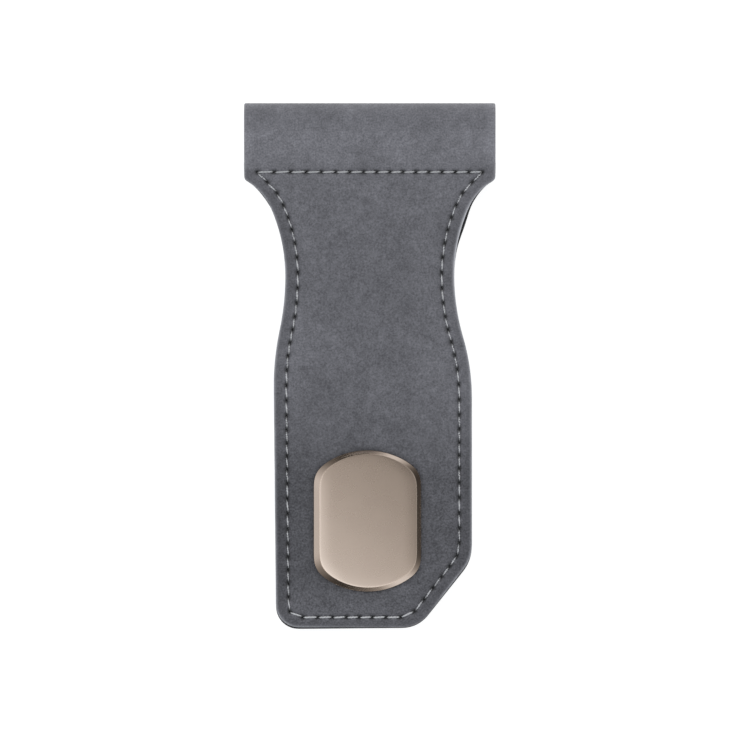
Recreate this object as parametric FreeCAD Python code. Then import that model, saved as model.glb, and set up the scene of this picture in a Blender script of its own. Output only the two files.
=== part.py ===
"""Magnetic leather money clip: two stitched flaps joined by a leather fold, with a metal plate on the front.

The clip lies on its back. +Z points up out of the plate, +Y points to the fold, and the origin is on the
surface that it lies on, under the middle of its footprint. Sizes are in millimetres.
"""

import FreeCAD, Part

import math
import os

from FreeCAD import Vector

# Stack of each flap, from its outer face inwards
LEATHER = 1.3
FILLER = 1.2
LINING = 0.6
FLAP = LEATHER + FILLER + LINING
NOTE_GAP = 0.2
CLOSED = 2 * FLAP + NOTE_GAP

# Plan outline, shared by both flaps
LENGTH = 100.0
BACK_OVERHANG = 0.4
BAR_WIDTH = 47.7
WAIST_WIDTH = 32.1
WAIST_Y = 17.1
NECK_RADIUS = 32.0
NECK_TURN = 23.8
FLARE_RADIUS = 11.2
LEFT_HALF = 18.25
LEFT_HIP_Y = -3.6
LEFT_TIP_HALF = 17.8
RIGHT_HALF = 19.4
RIGHT_HIP_Y = -6.0
TIP_RADIUS = 4.3
CUT_WIDTH = 10.2
CUT_HEIGHT = 13.1
CUT_TOP_RADIUS = 7.2
CUT_FOOT_RADIUS = 6.1

# Seams: the inset is smaller along the tip, and the seam turns tighter than the edge into the bar's corners.
# The cross seam starts with longer stitches, and the pitch of the seam round the flap swings a little.
SEAM_INSET = 2.4
TIP_SEAM_INSET = 1.9
SEAM_FLARE_RADIUS = 9.0
CROSS_SEAM_Y = 36.85
STITCH_PITCH = 2.7
START_LENGTHENING = 0.25
PITCH_SWING = 0.0016
SWINGS = 9
FINE_STEPS = 20000
NEEDLE_HOLE_RADIUS = 0.35
GROOVE_WIDTH = 0.8
GROOVE_DEPTH = 0.3
THREAD_WIDTH = 0.5
THREAD_HEIGHT = 0.26
THREAD_RADIUS = 0.22

# Plate and what holds it. The crowned face cuts the bevel off below its full width and height.
PLATE_X = -0.45
PLATE_Y = -29.4
PLATE_WIDTH = 20.4
PLATE_LENGTH = 26.9
PLATE_END_RADIUS = 14.0
PLATE_CORNER_RADIUS = 4.2
PLATE_HEIGHT = 1.3
PLATE_RIM = 0.3
PLATE_CROWN_RADIUS = 260.0
PLATE_BEVEL_WIDTH = 1.5
PLATE_BEVEL_HEIGHT = 1.25
SCREW_SPACING = 20.0
BOSS_RADIUS = 1.5
BOSS_CLEARANCE = 0.05
THREAD_BORE_RADIUS = 0.8
SHANK_CLEARANCE = 0.02
BORE_DEPTH = 1.9
HEAD_RADIUS = 1.6
HEAD_HEIGHT = 0.6
WASHER_RADIUS = 2.3
WASHER_BORE_RADIUS = 0.9
WASHER_THICKNESS = 0.4

# Magnets
MAGNET_RADIUS = 7.0
MAGNET_THICKNESS = 1.15
MAGNET_CLEARANCE = 0.1

FOLD_RADIUS = CLOSED / 2
FOLD_Y = LENGTH / 2 - FOLD_RADIUS
FRONT_TIP_Y = BACK_OVERHANG - LENGTH / 2
LINING_TOP_Y = CROSS_SEAM_Y + SEAM_INSET
UP = Vector(0, 0, 1)

# How far a cutting shape runs past the faces that it cuts, no distance, and an offset with sharp corners
OVERCUT = 1.0
TINY = 1e-6
MITRED = 2


def polar(centre, radius, angle):
    """The point at that distance and direction, in degrees, from centre."""
    turn = math.radians(angle)
    return centre + Vector(radius * math.cos(turn), radius * math.sin(turn), 0)


def line(start, end):
    return Part.LineSegment(start, end).toShape()


def arc(centre, radius, start, end):
    """The arc about centre from one direction to another, in degrees."""
    return Part.Arc(*(polar(centre, radius, a) for a in (start, (start + end) / 2, end))).toShape()


def rounded_run(points, radii):
    """The edges of an open run of lines, with each inner corner rounded to its radius."""
    edges = []
    here = points[0]
    for before, corner, after, radius in zip(points, points[1:], points[2:], radii):
        back = (before - corner).normalize()
        on = (after - corner).normalize()
        half = back.getAngle(on) / 2
        start = corner + back * (radius / math.tan(half))
        end = corner + on * (radius / math.tan(half))
        middle = corner + (back + on).normalize() * (radius / math.sin(half) - radius)
        edges += [line(here, start), Part.Arc(start, middle, end).toShape()]
        here = end
    return edges + [line(here, points[-1])]


def waist_side(body_half, hip_y, flare_radius):
    """The right-hand waist, from the corner under the bar down to the straight side of the body."""
    waist = WAIST_WIDTH / 2
    neck_centre = Vector(waist + NECK_RADIUS, WAIST_Y, 0)
    flare_centre = polar(neck_centre, NECK_RADIUS - flare_radius, 180 - NECK_TURN)
    flare_turn = math.degrees(math.acos((flare_centre.x - BAR_WIDTH / 2) / flare_radius))
    spread = body_half - waist
    drop = WAIST_Y - hip_y
    hip_radius = (spread**2 + drop**2) / (4 * spread)
    hip_turn = math.degrees(math.asin(drop / (2 * hip_radius)))
    return [
        arc(flare_centre, flare_radius, 180 - flare_turn, 180 - NECK_TURN),
        arc(neck_centre, NECK_RADIUS, 180 - NECK_TURN, 180),
        arc(Vector(waist + hip_radius, WAIST_Y, 0), hip_radius, 180, 180 + hip_turn),
        arc(Vector(body_half - hip_radius, hip_y, 0), hip_radius, hip_turn, 0),
    ]


def flap_outline(top_y, tip_y=FRONT_TIP_Y, flare_radius=FLARE_RADIUS):
    """The closed outline of a flap, level at top_y and tip_y. The cut corner keeps its line for any tip_y."""
    bar = BAR_WIDTH / 2
    right = waist_side(RIGHT_HALF, RIGHT_HIP_Y, flare_radius)
    left_waist = waist_side(LEFT_HALF, LEFT_HIP_Y, flare_radius)
    left = [edge.mirror(Vector(), Vector(1, 0, 0)) for edge in left_waist]
    bar_foot_y = right[0].Vertexes[0].Y
    cut_top_y = FRONT_TIP_Y + CUT_HEIGHT
    cut_foot_x = RIGHT_HALF - (cut_top_y - tip_y) * CUT_WIDTH / CUT_HEIGHT
    tip = rounded_run(
        [
            Vector(RIGHT_HALF, RIGHT_HIP_Y, 0),
            Vector(RIGHT_HALF, cut_top_y, 0),
            Vector(cut_foot_x, tip_y, 0),
            Vector(-LEFT_TIP_HALF, tip_y, 0),
            Vector(-LEFT_HALF, LEFT_HIP_Y, 0),
        ],
        [CUT_TOP_RADIUS, CUT_FOOT_RADIUS, TIP_RADIUS],
    )
    bar_edges = [
        line(Vector(-bar, bar_foot_y, 0), Vector(-bar, top_y, 0)),
        line(Vector(-bar, top_y, 0), Vector(bar, top_y, 0)),
        line(Vector(bar, top_y, 0), Vector(bar, bar_foot_y, 0)),
    ]
    return Part.Wire(Part.__sortEdges__(right + tip + left + bar_edges))


def seam_line():
    """The closed line that the stitches follow: inside the flap's edge, and across it at the cross seam."""
    tip_y = FRONT_TIP_Y - SEAM_INSET + TIP_SEAM_INSET
    edge = flap_outline(LINING_TOP_Y + SEAM_INSET, tip_y, SEAM_FLARE_RADIUS)
    corner = Vector(-LENGTH / 2, CROSS_SEAM_Y - LENGTH, -OVERCUT)
    below = Part.makeBox(LENGTH, LENGTH, 2 * OVERCUT, corner)
    return Part.Face(edge.makeOffset2D(-SEAM_INSET)).common(below).Faces[0].OuterWire


def stitch_points():
    """The needle holes: along the cross seam from left to right, then round the flap and back."""
    edges = seam_line().Edges
    on_top = [e for e in edges if abs(e.BoundBox.YMin - CROSS_SEAM_Y) < TINY]
    cross = Part.Wire(Part.__sortEdges__(on_top))
    around = Part.Wire(Part.__sortEdges__([e for e in edges if not any(e.isSame(t) for t in on_top)]))
    top_points = spaced(cross, Vector(-1, 0, 0), lambda t: START_LENGTHENING * t * (1 - t) ** 2)
    side_points = spaced(around, Vector(1, 0, 0), lambda t: PITCH_SWING * math.sin(SWINGS * 2 * math.pi * t))
    return top_points[:-1] + side_points[:-1]


def spaced(wire, start, shift):
    """Points along a wire at about the stitch pitch, ends included, from its end that lies towards start.

    shift moves the point at each share of the way along, by a share of the wire.
    """
    fine = wire.discretize(Number=FINE_STEPS + 1)
    if fine[0].dot(start) < fine[-1].dot(start):
        fine.reverse()
    count = round(wire.Length / STITCH_PITCH)
    return [fine[round((i / count + shift(i / count)) * FINE_STEPS)] for i in range(count + 1)]


def disc(x, y, depth_from, depth_to, radius):
    return Part.makeCylinder(radius, depth_to - depth_from, Vector(x, y, depth_from), UP)


def stitch_run(points, width, depth_from, depth_to):
    """A closed band that runs straight from hole to hole with mitred corners, between two depths."""
    inside = Part.Face(Part.makePolygon(points + points[:1]))
    outer, inner = (inside.makeOffset2D(side * width / 2, MITRED) for side in (1, -1))
    band = outer.cut(inner)
    band.translate(UP * depth_from)
    return band.extrude(UP * (depth_to - depth_from))


def needle_holes(points, depth_from, depth_to):
    return Part.makeCompound([disc(p.x, p.y, depth_from, depth_to, NEEDLE_HOLE_RADIUS) for p in points])


def layer(top_y, depth_from, depth_to):
    """A flat layer of a flap between two depths below its outer face."""
    face = Part.Face(flap_outline(top_y))
    face.translate(UP * depth_from)
    return face.extrude(UP * (depth_to - depth_from))


def screw_places():
    return [(PLATE_X, PLATE_Y + side * SCREW_SPACING / 2) for side in (-1, 1)]


def outer_leather(points):
    """The outer leather of a flap, with its stitching groove and needle holes."""
    groove = stitch_run(points, GROOVE_WIDTH, -OVERCUT, GROOVE_DEPTH)
    holes = needle_holes(points, -OVERCUT, LEATHER + OVERCUT)
    return layer(FOLD_Y, 0, LEATHER).cut([groove, holes])


def lining_leather(points):
    """The inner leather of a flap, with its stitching groove and needle holes."""
    groove = stitch_run(points, GROOVE_WIDTH, FLAP - GROOVE_DEPTH, FLAP + OVERCUT)
    holes = needle_holes(points, FLAP - LINING - OVERCUT, FLAP + OVERCUT)
    return layer(LINING_TOP_Y, FLAP - LINING, FLAP).cut([groove, holes])


def filler_board(points):
    """The stiffening board between the leathers, with its window for the magnet."""
    cut_from = LEATHER - OVERCUT
    cut_to = LEATHER + FILLER + OVERCUT
    window = disc(PLATE_X, PLATE_Y, cut_from, cut_to, MAGNET_RADIUS + MAGNET_CLEARANCE)
    board = layer(LINING_TOP_Y, LEATHER, LEATHER + FILLER)
    return board.cut([window, needle_holes(points, cut_from, cut_to)])


def magnet():
    """The disc magnet in the board's window, which draws the two flaps together."""
    middle = LEATHER + FILLER / 2
    half = MAGNET_THICKNESS / 2
    return disc(PLATE_X, PLATE_Y, middle - half, middle + half, MAGNET_RADIUS)


def thread(points, bar_from, bar_to, leg_from, leg_to):
    """One thread of a lockstitch: a bar from hole to hole, and a leg down each hole to the other thread."""
    legs = [disc(p.x, p.y, leg_from, leg_to, THREAD_RADIUS) for p in points]
    return stitch_run(points, THREAD_WIDTH, bar_from, bar_to).multiFuse(legs)


def needle_thread(points):
    """The thread on a flap's outer face."""
    bar_from = GROOVE_DEPTH - THREAD_HEIGHT
    return thread(points, bar_from, GROOVE_DEPTH, bar_from + THREAD_HEIGHT / 2, FLAP / 2)


def bobbin_thread(points):
    """The thread on a flap's inner face, which meets the needle thread halfway down each hole."""
    bar_to = FLAP - GROOVE_DEPTH + THREAD_HEIGHT
    return thread(points, FLAP - GROOVE_DEPTH, bar_to, FLAP / 2, bar_to - THREAD_HEIGHT / 2)


def flap_layers(points):
    """What both flaps are made of, with depth below the outer face measured along +Z."""
    return {
        "leather": outer_leather(points),
        "filler": filler_board(points),
        "lining": lining_leather(points),
        "magnet": magnet(),
        "needle_thread": needle_thread(points),
        "bobbin_thread": bobbin_thread(points),
    }


def fold_leather():
    """The half turn of outer leather that joins the flaps, with its axis along X."""
    half_turn = [
        Part.makeCylinder(radius, BAR_WIDTH, Vector(-BAR_WIDTH / 2, FOLD_Y, FOLD_RADIUS), Vector(1, 0, 0))
        for radius in (FOLD_RADIUS, FOLD_RADIUS - LEATHER)
    ]
    beyond = Part.makeBox(BAR_WIDTH, CLOSED, 2 * CLOSED, Vector(-BAR_WIDTH / 2, FOLD_Y, -CLOSED / 2))
    return half_turn[0].cut(half_turn[1]).common(beyond)


def plate_outline(inset):
    """The plate's outline: straight sides, round ends and rounded corners, moved inwards by inset."""
    half_width = PLATE_WIDTH / 2 - inset
    corner = PLATE_CORNER_RADIUS - inset
    corner_x = half_width - corner
    end_centre_y = PLATE_LENGTH / 2 - PLATE_END_RADIUS
    reach = PLATE_END_RADIUS - PLATE_CORNER_RADIUS
    lean = math.degrees(math.acos(corner_x / reach))
    corner_y = end_centre_y + reach * math.sin(math.radians(lean))
    end_radius = PLATE_END_RADIUS - inset
    top = [
        arc(Vector(corner_x, corner_y, 0), corner, 0, lean),
        arc(Vector(0, end_centre_y, 0), end_radius, lean, 180 - lean),
        arc(Vector(-corner_x, corner_y, 0), corner, 180 - lean, 180),
    ]
    bottom = [edge.mirror(Vector(), Vector(0, 1, 0)) for edge in top]
    sides = [line(Vector(s * half_width, -corner_y, 0), Vector(s * half_width, corner_y, 0)) for s in (-1, 1)]
    outline = Part.Wire(Part.__sortEdges__(top + bottom + sides))
    outline.translate(Vector(PLATE_X, PLATE_Y, 0))
    return outline


def clip_plate():
    """The metal plate with its bevel, its crowned face, and two tapped bosses through the leather."""
    rim = Part.Face(plate_outline(0))
    rim.translate(UP * CLOSED)
    low, high = plate_outline(0), plate_outline(PLATE_BEVEL_WIDTH)
    low.translate(UP * (CLOSED + PLATE_RIM))
    high.translate(UP * (CLOSED + PLATE_RIM + PLATE_BEVEL_HEIGHT))
    bevel = Part.makeLoft([low, high], True, True)
    crown_centre = Vector(PLATE_X, PLATE_Y, CLOSED + PLATE_HEIGHT - PLATE_CROWN_RADIUS)
    crown = Part.makeSphere(PLATE_CROWN_RADIUS, crown_centre, Vector(1, 0, 0))
    body = rim.extrude(UP * PLATE_RIM).fuse(bevel).common(crown)
    bosses = [disc(x, y, CLOSED - LEATHER, CLOSED + PLATE_RIM / 2, BOSS_RADIUS) for x, y in screw_places()]
    bore_from = CLOSED - LEATHER - OVERCUT
    bore_to = CLOSED - LEATHER + BORE_DEPTH
    bores = [disc(x, y, bore_from, bore_to, THREAD_BORE_RADIUS) for x, y in screw_places()]
    return body.fuse(bosses).cut(bores).removeSplitter()


def plate_washers():
    """The washers that the screw heads pull up against the inside of the leather."""
    top = CLOSED - LEATHER
    bottom = top - WASHER_THICKNESS
    return Part.makeCompound(
        [
            disc(x, y, bottom, top, WASHER_RADIUS).cut(disc(x, y, bottom, top, WASHER_BORE_RADIUS))
            for x, y in screw_places()
        ]
    )


def plate_screws():
    """The two screws, driven from inside the flap into the plate's bosses."""
    head_top = CLOSED - LEATHER - WASHER_THICKNESS
    shank_top = CLOSED - LEATHER + BORE_DEPTH - BOSS_CLEARANCE
    shank_radius = THREAD_BORE_RADIUS - SHANK_CLEARANCE
    screws = []
    for x, y in screw_places():
        head = disc(x, y, head_top - HEAD_HEIGHT, head_top, HEAD_RADIUS)
        slot_width = HEAD_RADIUS / 4
        slot_corner = Vector(x - HEAD_RADIUS, y - slot_width / 2, head_top - HEAD_HEIGHT)
        slot = Part.makeBox(2 * HEAD_RADIUS, slot_width, HEAD_HEIGHT / 2, slot_corner)
        shank = disc(x, y, head_top - HEAD_HEIGHT / 4, shank_top, shank_radius)
        screws.append(head.fuse(shank).cut(slot))
    return Part.makeCompound(screws)


def fit_front_hardware(layers):
    """Opens the front flap for the plate's bosses and for the washers and screw heads under the leather."""
    hole_radius = BOSS_RADIUS + BOSS_CLEARANCE
    pocket_radius = WASHER_RADIUS + BOSS_CLEARANCE
    bosses = [disc(x, y, 0, LEATHER, hole_radius) for x, y in screw_places()]
    pockets = [disc(x, y, LEATHER, LEATHER + FILLER, pocket_radius) for x, y in screw_places()]
    layers["leather"] = layers["leather"].cut(bosses)
    layers["filler"] = layers["filler"].cut(pockets)


def back_place(shape):
    """The back flap lies outer face down, and reaches a little past the front flap's tip."""
    placed = shape.copy()
    placed.translate(Vector(0, -BACK_OVERHANG, 0))
    return placed


def front_place(shape):
    """The front flap lies outer face up."""
    placed = shape.mirror(Vector(), UP)
    placed.translate(UP * CLOSED)
    return placed


def trim_to_fold(leather):
    """Squares the back leather off where the fold begins, after its shift."""
    strip = Part.makeBox(BAR_WIDTH, BACK_OVERHANG, LEATHER, Vector(-BAR_WIDTH / 2, FOLD_Y - BACK_OVERHANG, 0))
    return leather.fuse(strip).removeSplitter()


def money_clip():
    """Every node of the clip, by name."""
    points = stitch_points()
    layers = flap_layers(points)
    nodes = {"back_" + name: back_place(shape) for name, shape in layers.items()}
    nodes["back_leather"] = trim_to_fold(nodes["back_leather"])
    fit_front_hardware(layers)
    nodes |= {"front_" + name: front_place(shape) for name, shape in layers.items()}
    nodes["fold_leather"] = fold_leather()
    nodes["clip_plate"] = clip_plate()
    nodes["plate_washers"] = plate_washers()
    nodes["plate_screws"] = plate_screws()
    return nodes


os.makedirs("parts", exist_ok=True)
for name, shape in money_clip().items():
    shape.exportStep(f"parts/{name}.step")
    print(f"{name}: {len(shape.Solids)} solid(s), {shape.Volume:.1f} mm3, valid {shape.isValid()}")
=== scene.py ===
"""The looks of a magnetic leather money clip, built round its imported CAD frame, in metres."""

import math

import bpy
import numpy as np
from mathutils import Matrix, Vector, geometry, noise


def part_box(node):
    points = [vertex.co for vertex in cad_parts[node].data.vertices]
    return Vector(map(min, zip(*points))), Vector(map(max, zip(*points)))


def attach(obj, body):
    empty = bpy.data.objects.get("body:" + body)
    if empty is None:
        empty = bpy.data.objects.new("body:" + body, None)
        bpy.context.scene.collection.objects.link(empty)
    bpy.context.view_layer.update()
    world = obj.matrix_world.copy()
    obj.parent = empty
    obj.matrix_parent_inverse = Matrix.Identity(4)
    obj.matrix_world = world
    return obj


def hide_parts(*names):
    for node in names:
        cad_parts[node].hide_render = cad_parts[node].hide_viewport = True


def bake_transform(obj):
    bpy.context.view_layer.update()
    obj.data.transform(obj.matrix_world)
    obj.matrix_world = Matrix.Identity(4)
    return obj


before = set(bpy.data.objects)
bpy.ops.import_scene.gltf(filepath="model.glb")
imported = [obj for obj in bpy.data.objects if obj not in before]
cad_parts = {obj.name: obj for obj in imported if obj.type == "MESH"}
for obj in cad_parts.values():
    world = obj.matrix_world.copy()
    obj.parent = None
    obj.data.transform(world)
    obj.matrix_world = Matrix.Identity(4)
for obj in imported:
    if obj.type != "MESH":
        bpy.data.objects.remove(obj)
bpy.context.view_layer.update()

MM = 0.001
TINY = 1e-6

# Where the CAD puts the leather: the two flaps' outer faces, and the fold between them
BACK_LOW, BACK_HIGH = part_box("back_leather")
FRONT_LOW, FRONT_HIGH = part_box("front_leather")
LEATHER = BACK_HIGH.z - BACK_LOW.z
FOLD_Y = FRONT_HIGH.y
FOLD_RADIUS = (FRONT_HIGH.z - BACK_LOW.z) / 2
FOLD_LENGTH = math.pi * FOLD_RADIUS
FOLD_END = FOLD_Y + FOLD_LENGTH

# A place in the neck from which the whole of a flap's seam is in view
SEAM_EYE = np.array([0, 20 * MM])

# How many pairs of a point and a side are measured at once, so that they fit in memory
PAIRS_AT_ONCE = 1_000_000

# The leather's meshes
OUTLINE_STEP = 0.4 * MM
GRID_STEP = 1.0 * MM
FOLD_STEP = 0.4 * MM
UNDER_STEP = 1.6 * MM
UNDER_MARGIN = 0.6 * MM
WALL_STEPS = 4
POINT_GAP = 0.03 * MM
EDGE_RINGS = (0.05, 0.12, 0.22, 0.35, 0.6, 0.95)
SEAM_STEP = 0.27 * MM
SEAM_RUNS = (-0.85, -0.55, -0.3, 0, 0.3, 0.55, 0.85)
SEAM_CLEARANCE = 1.2 * MM
HOLE_RINGS = ((0.13, 6), (0.25, 9), (0.37, 12), (0.52, 15))
HOLE_CLEARANCE = 0.62 * MM
LARGEST_HOLE = 3 * MM

# The leather's cut edges
EDGE_ROUND = 0.35 * MM
LINING_ROUND = 0.18 * MM
INNER_BEVEL = 0.12 * MM
WAVER = 0.015 * MM
WAVER_SIZE = 6 * MM
LEATHER_SEED, LINING_SEED, BOARD_SEED = 3.1, 5.3, 7.9
BOARD_INSET = 0.06 * MM

# The seams' grooves, with a pit at each hole and a pucker between holes
GROOVE_REACH = 0.42 * MM
FRONT_GROOVE = 0.17 * MM
BACK_GROOVE = 0.32 * MM
LINING_GROOVE = 0.2 * MM
PIT_DEPTH = 0.7 * MM
LINING_PIT = 0.35 * MM
PIT_REACH = 0.37 * MM
PIT_STRETCH = 1.65
PUCKER = 0.02 * MM
PUCKER_PLACE = 0.8 * MM
PUCKER_REACH = 0.5 * MM

# The front's padding, the swell of its bar, its ripples, and the prints of the plate and the magnets
PILLOW = 0.26 * MM
PILLOW_REACH = 5 * MM
BAR_SWELL = 0.07 * MM
SWELL_MARGIN = 2 * MM
FOLD_MARGIN = 3 * MM
RIPPLES = ((0.035 * MM, 13 * MM, 1.7), (0.012 * MM, 4 * MM, 4.2))
RIPPLE_MARGIN = 4 * MM
PLATE_SINK = 0.06 * MM
SINK_REACH = 1.1 * MM
MAGNET_MARK = 0.03 * MM
MARK_REACH = 0.6 * MM

# Where the flaps' outlines are cut by hand: places along y with their reach, and the ends of smooth steps
BAR_BULGE = 0.13 * MM
BAR_MIDDLE, BAR_REACH = 42 * MM, 4.5 * MM
BAR_END = (20 * MM, 23 * MM)
NECK, NECK_REACH = 26.8 * MM, 3.4 * MM
FLARES, FLARE_REACH = 36.8 * MM, 3.6 * MM
TIP_RIGHT = (-17 * MM, -5 * MM)
TIP_ENDS = (43 * MM, 47 * MM)

# How far the back flap's neck leans to the right, and its flares and the right of its tip are raised
BACK_CUT = (0.42 * MM, 0.8 * MM, 0.2 * MM)

# How light the strip's colour is, by the distance along it in millimetres. The lift at 50 to 52 mm is painted
# light on the fold, where it turns to face the lamp
STRIP_TONES = (
    (-50, 0.79), (-47, 0.77), (-45, 0.71), (-41, 0.64), (-36, 0.6), (-29, 0.58), (-20, 0.6), (-15.5, 0.72),
    (-12, 0.8), (-4, 0.85), (5, 0.88), (18, 0.83), (24, 0.83), (30, 0.9), (36, 0.92), (38.5, 1.0),
    (40, 1.06), (44, 1.06), (46.5, 0.97), (48, 0.96), (50, 1.15), (52, 1.15), (54, 1.0),
)

# How the tone changes across the strip: the body's half width, and where, how far and how much it changes
HALF_BODY = 15 * MM
PLATE_LEVEL, PLATE_LEVEL_REACH, RIGHT_LIGHTER = -29 * MM, 15 * MM, 0.09
WAIST, WAIST_REACH, SIDES_LIGHTER, MIDDLE_DARKER = 3 * MM, 12 * MM, 0.15, 0.2
BAR_END_TONE, BAR_ENDS_LIGHTER, RIGHT_END_LIGHTER = (21.5 * MM, 23 * MM), 0.19, 0.04
BAR_START = (37 * MM, 39 * MM)
LAST_OF_BODY = 37.5 * MM
LEFT_MARGIN, RIGHT_MARGIN = 0.21, 0.14
MARGIN_START = (0.3 * MM, 1.0 * MM)
PLATE_SHADOW, SHADOW_REACH = 0.4, 0.45 * MM

# Where the front's rim gets a painted highlight, strongest at the right flare, and where its nap is coarser
RIM_REACH = 0.28 * MM
LINING_RIM = 0.3 * MM
NECK_START = 20 * MM
BRIGHTEST_RIM_PLACE, BRIGHTEST_RIM_REACH = (17.5 * MM, 25 * MM), 8 * MM
BAR_RIM = (37 * MM, 41 * MM)
NECK_HIGHLIGHT, BODY_HIGHLIGHT, MOST_HIGHLIGHT, BAR_LESS, TIP_LESS = 0.3, 0.15, 0.8, 0.2, 0.3
COARSE_NAP, COARSENESS = (12 * MM, 24 * MM), 0.35

# Threads
THREAD_RADIUS = 0.2 * MM
THREAD_SQUASH = 0.88
LEG_RADIUS = 0.55
LEG_OFFSET = 0.14 * MM
LOCK_DEPTH = 1.4 * MM
LOCK_BENDS = (0.06 * MM, 0.2 * MM)
DIVE = 0.55 * MM
BAR_SAG = 0.02 * MM
BAR_POINTS = 5
PLIES = 3
PLY_TWIST = 1.9 * MM
PLY_SIDES = 18
LOBE = 0.464
NEEDLE_DEPTH = 0.07 * MM
BACK_NEEDLE_DEPTH = 0.235 * MM
BOBBIN_DEPTH = 0.17 * MM
NEEDLE_SEED, BOBBIN_SEED = 11, 12
LEAN_CHANCE = (0.6, 1.4)
SIZE_CHANCE = (0.96, 1.03)

# The stitches across the clip are thicker and dive later than those along it, and the left seam's lean more
LEVEL_RUN = (0.75, 0.98)
TURN, LEVEL_TURN = 1.15 * MM, 0.6 * MM
STITCH_SIZE, LEVEL_SIZE, TOP_SIZE = 0.76, 0.12, 0.04
STITCH_LEAN, LEFT_LEAN = 0.055 * MM, 0.05 * MM
LEFT_SEAM = -10 * MM
TOP_TONE = 0.27

# Plate
PLATE_STEP = 0.1 * MM
PLATE_GRID = 0.7 * MM
PLATE_RIM = 0.22 * MM
PLATE_ROUND = 0.06 * MM
PLATE_RINGS = (0.02, 0.05, 0.1, 0.2, 0.35, 0.5, *np.arange(0.56, 1.36, 0.055), 1.5, 1.75, 2.1, 2.6, 3.2)
BEVEL_WIDTH = 0.95 * MM
END_NARROWING = 0.25 * MM
FACE_SHIFT = np.array([0.15, 0.04]) * MM
OUTLINE_SOFTENING = 8
FACE_SOFTENING = 14
CROWN_RADIUS = 260 * MM
FACE_TILT = 0.0125
SHOULDER = 0.09 * MM
SHOULDER_AT_ENDS = 0.3
SHOULDER_REACH = 2.4 * MM
SHOULDER_SIDES = (4 * MM, 8.5 * MM)
ARRIS = 0.08 * MM
BOSS_SIDES = 48
BOSS_OVERLAP = 0.05 * MM

# Colours. Those that are mixed in have their opacity too
NUBUCK_GREY = (0.131, 0.1295, 0.1415)
NAP_SWING = 0.75
# The colour of the painted highlight on the front's rim
RIM_HIGHLIGHT_GREY = (0.5, 0.5, 0.53, 1)
EDGE_PAINT = (0.018, 0.018, 0.02, 1)
FLESH_SIDE = (0.05, 0.048, 0.047, 1)
# The painted shade in the needle holes and their pits
HOLE_SHADE = (0.008, 0.008, 0.009, 1)
LINING_BLACK = (0.024, 0.024, 0.026)
LINING_EDGE = (0.014, 0.014, 0.015, 1)
# The painted shade in the lining's needle holes
LINING_HOLE_SHADE = (0.004, 0.004, 0.004, 1)
THREAD_GREY = (0.56, 0.56, 0.57)
CHAMPAGNE = (0.62, 0.493, 0.4)
BOARD_BROWN = (0.034, 0.031, 0.03)
NICKEL = (0.6, 0.58, 0.54)
ZINC = (0.56, 0.58, 0.6)
FLOOR_GREY = (0.3, 0.3, 0.3)
WHITE = (1, 1, 1, 1)

# What a metal plate mirrors. Its bevels mirror a ring of soft boxes: degrees round from +X, and brightness
HORIZON = (
    (0, 0.074), (15, 0.06), (32, 0.09), (42, 0.15), (50, 0.28), (57, 0.62), (64, 0.9), (72, 0.88), (80, 0.5),
    (88, 0.18), (98, 0.09), (113, 0.085), (122, 0.18), (142, 0.53), (165, 0.82), (176, 0.84), (186, 0.72),
    (196, 0.52), (210, 0.32), (228, 0.21), (240, 0.085), (250, 0.05), (260, 0.1), (270, 0.18), (280, 0.38),
    (288, 0.78), (297, 1.05), (307, 0.93), (318, 0.6), (330, 0.37), (345, 0.2),
)

# Its face mirrors a dome, which is dim and warm on the right and bright and cool on the left. The soft boxes
# fade into it between those heights, as shares of the way up
DOME_START, DOME_END = 0.62, 0.88
DOME_WARM = (0.545, 0.541, 0.535, 1)
DOME_COOL = (0.545, 0.6, 0.665, 1)
DOME_SLOPE = -3.6
DOME_TURN = 1.2

# The line between bevel and face mirrors a bright band, at that height up the dome and fading by that much
BAND_LIGHT = (1.0, 1.04, 1.08)
BAND_HEIGHT, BAND_WIDTH = 0.75, 0.1
BAND_FADE = -0.4

# The floor and the lamp over it
FLOOR_REACH = 4
FLOOR_GAP = 0.02 * MM
LAMP_PLACE = (0, 0.3, 0.6)
LAMP_SIZE = (0.6, 0.5)
LAMP_POWER = 2.6

# Photograph
LENS = 700
SENSOR = 36
VIEW_WIDTH = 142.4 * MM
VIEW_CENTRE = (0.99 * MM, -1.69 * MM)
NEAREST_SEEN = 10 * MM


# Reading the frame


def perimeter(points):
    return np.linalg.norm(np.roll(points, -1, axis=0) - points, axis=1).sum()


def flat_loops(node, height):
    """The outlines of a CAD node's level face at that height, each as x and y in order, longest first."""
    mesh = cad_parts[node].data
    corners = [tuple(round(c, 7) for c in v.co) for v in mesh.vertices]
    edges = {}
    for polygon in mesh.polygons:
        around = [corners[i] for i in polygon.vertices]
        if all(abs(c[2] - height) < TINY for c in around):
            edges.update(dict.fromkeys(zip(around, around[1:] + around[:1])))
    onward = {a: b for a, b in edges if (b, a) not in edges}
    loops = []
    while onward:
        start, here = onward.popitem()
        loop = [start]
        while here != start:
            loop.append(here)
            here = onward.pop(here)
        loops.append(np.array(loop)[:, :2])
    return sorted(loops, key=perimeter, reverse=True)


def anticlockwise(points):
    x, y = points.T
    area = (x * np.roll(y, -1) - y * np.roll(x, -1)).sum()
    return points if area > 0 else points[::-1]


def needle_holes(node, height):
    """The centres of a seam's needle holes, along the cross seam to the right and then round the flap."""
    loops = [loop for loop in flat_loops(node, height) if perimeter(loop) < LARGEST_HOLE]
    centres = np.array([loop.mean(axis=0) for loop in loops])
    gap = centres - SEAM_EYE
    turn = np.arctan2(gap[:, 1], gap[:, 0])
    top_left = centres[:, 1] - centres[:, 0]
    start = turn[top_left.argmax()]
    return centres[np.argsort((start - turn) % (2 * math.pi))]


# Lines in the plane


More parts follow.
